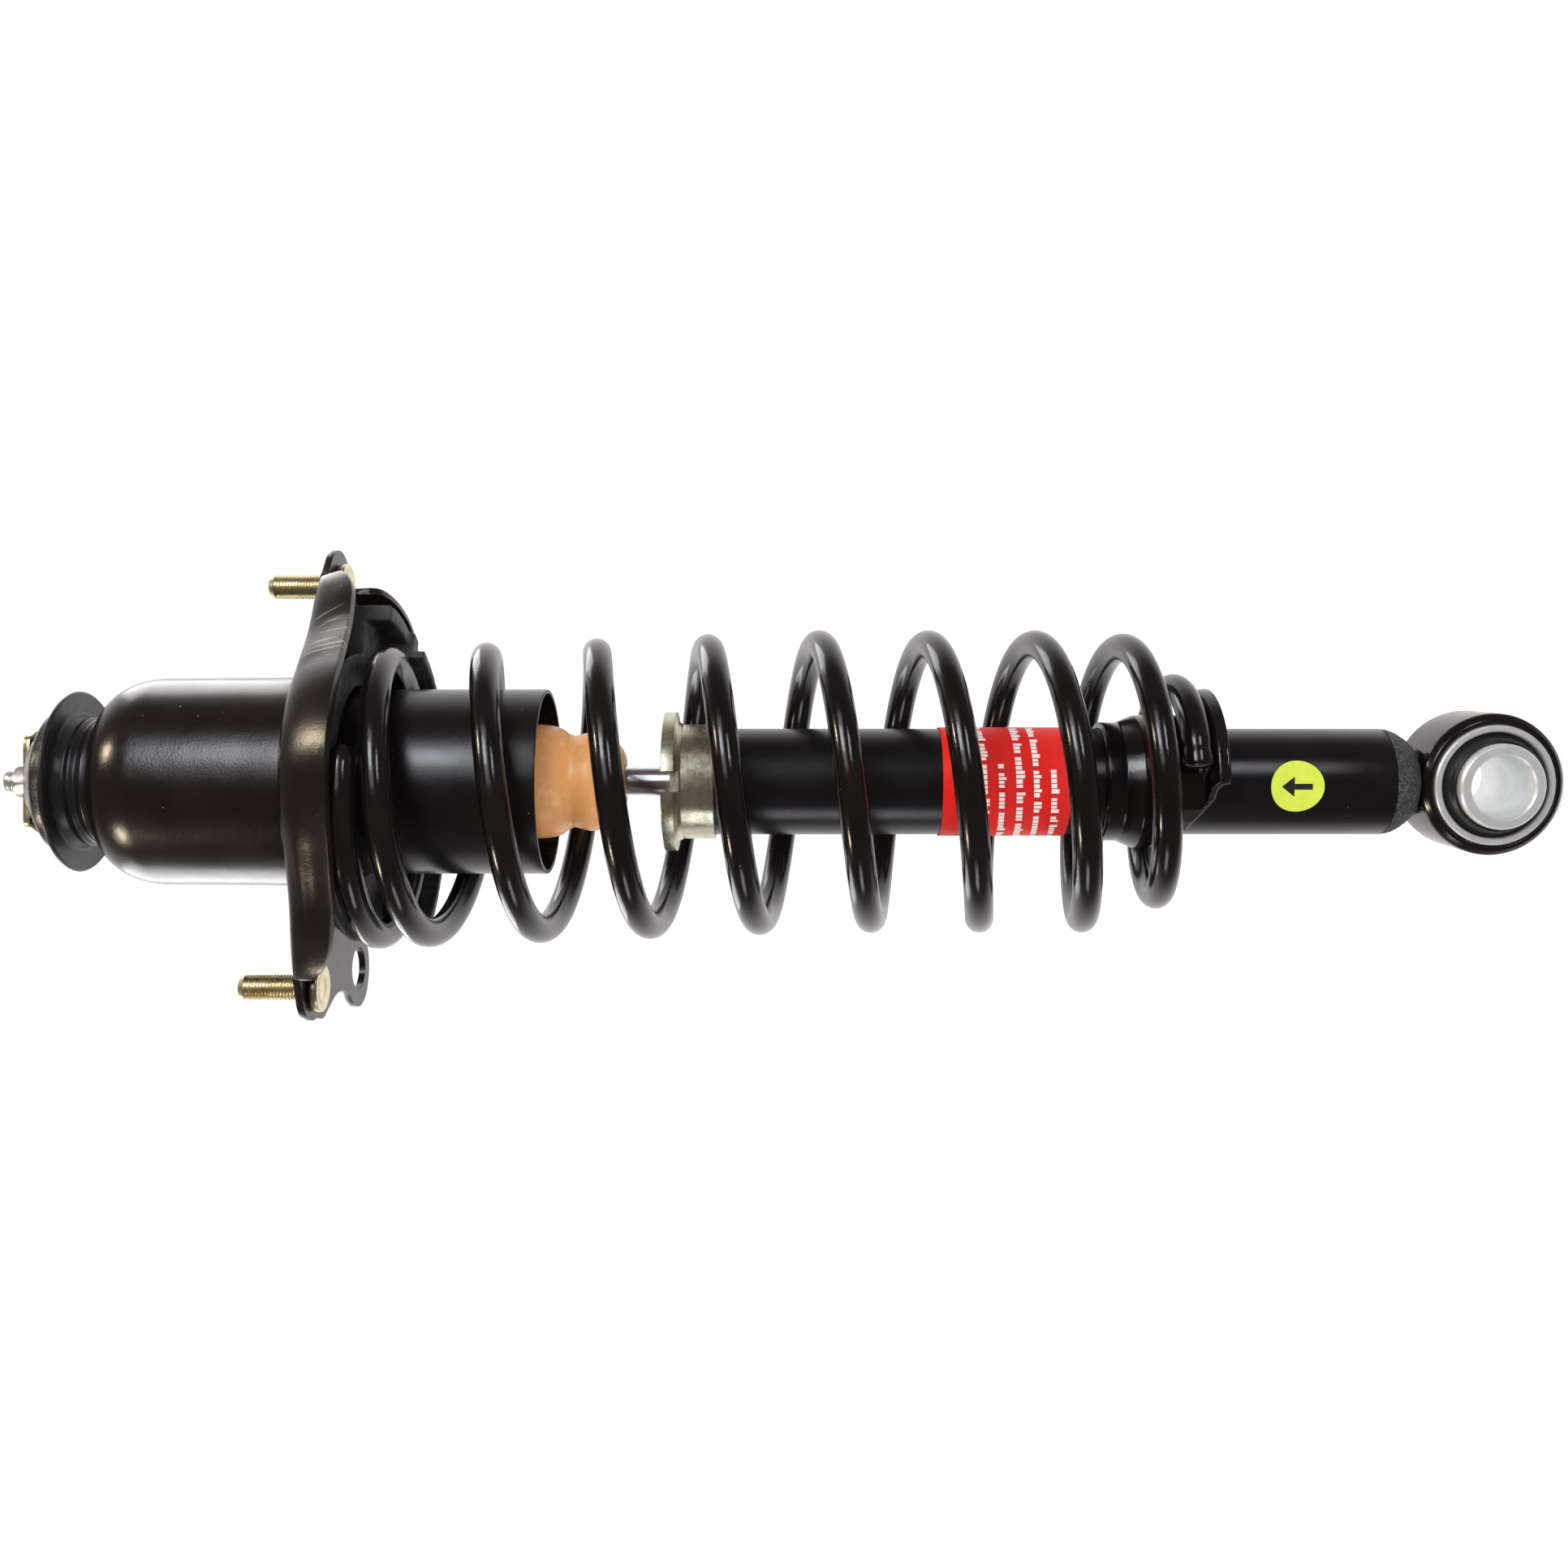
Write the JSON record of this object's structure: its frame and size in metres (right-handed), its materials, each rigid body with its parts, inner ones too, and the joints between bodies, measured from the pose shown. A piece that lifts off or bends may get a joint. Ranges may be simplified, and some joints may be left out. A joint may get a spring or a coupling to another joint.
{
  "type": "suspension strut assembly",
  "caption": "Coil spring over a gas damper, with a deep bell top mount and a studded flange above and a rubber-bushed eye below.",
  "frame": {"origin": "centre of the top mount's mounting plane (the flange's top face), on the strut's axis", "axes": "+Z along the strut's axis towards the rod's nut, so the strut hangs down from the origin; +Y along the lower eye's axis, away from the round label; +X across"},
  "size_m": [0.1953, 0.1449, 0.621],
  "materials": {
    "black_paint": "gloss",
    "gold_zinc": "satin",
    "clear_zinc": "satin",
    "olive_zinc": "satin",
    "steel": "satin",
    "hard_chrome": "polished",
    "rubber": "matte",
    "bushing_rubber": "satin",
    "foam": "satin",
    "bronze_band": "matte",
    "red_label": "satin",
    "yellow_label": "satin"
  },
  "bodies": {
    "top_mount": {"mount_housing": "black_paint", "mount_flange": "black_paint", "stud_a": "gold_zinc", "stud_b": "gold_zinc", "dust_tube": "black_paint", "upper_bushing": "bushing_rubber", "lower_bushing": "bushing_rubber", "spring_insulator": "rubber", "coil_spring": "black_paint", "bump_stop": "foam"},
    "piston_rod": {"piston_rod": "hard_chrome", "rod_nut": "clear_zinc", "top_washer": "gold_zinc", "cup_washer": "black_paint", "bushing_spacer": "steel", "lower_washer": "clear_zinc", "piston": "steel", "piston_band": "bronze_band", "piston_nut": "steel", "rebound_stop": "bushing_rubber", "rebound_collar": "steel"},
    "damper": {"damper_tube": "black_paint", "tube_base": "black_paint", "eye_ring": "black_paint", "bush_outer_sleeve": "clear_zinc", "bush_rubber": "bushing_rubber", "rod_guide": "steel", "rod_seal": "bushing_rubber", "pressure_tube": "steel", "base_valve": "steel", "bump_cap": "olive_zinc", "seat_collar": "black_paint", "lower_spring_seat": "black_paint", "label_band": "red_label", "round_label": "yellow_label"},
    "lower_sleeve": {"bush_inner_sleeve": "clear_zinc"}
  },
  "joints": [
    {"name": "damper_stroke", "type": "slide", "parent": "top_mount", "child": "damper", "axis": [0, 0, 1], "range_m": [0, 0.135], "stiffness_N_per_m": 25000, "springref_m": -0.002, "deforming": ["coil_spring", "bump_stop"]},
    {"name": "rod_twist", "type": "hinge", "parent": "top_mount", "child": "piston_rod", "pos_m": [0, 0, 0], "axis": [0, 0, 1], "range_deg": [-15, 15], "stiffness_Nm_per_rad": 8},
    {"name": "bush_torsion", "type": "hinge", "parent": "damper", "child": "lower_sleeve", "pos_m": [0, 0, -0.4664], "axis": [0, 1, 0], "range_deg": [-20, 20], "stiffness_Nm_per_rad": 30}
  ]
}
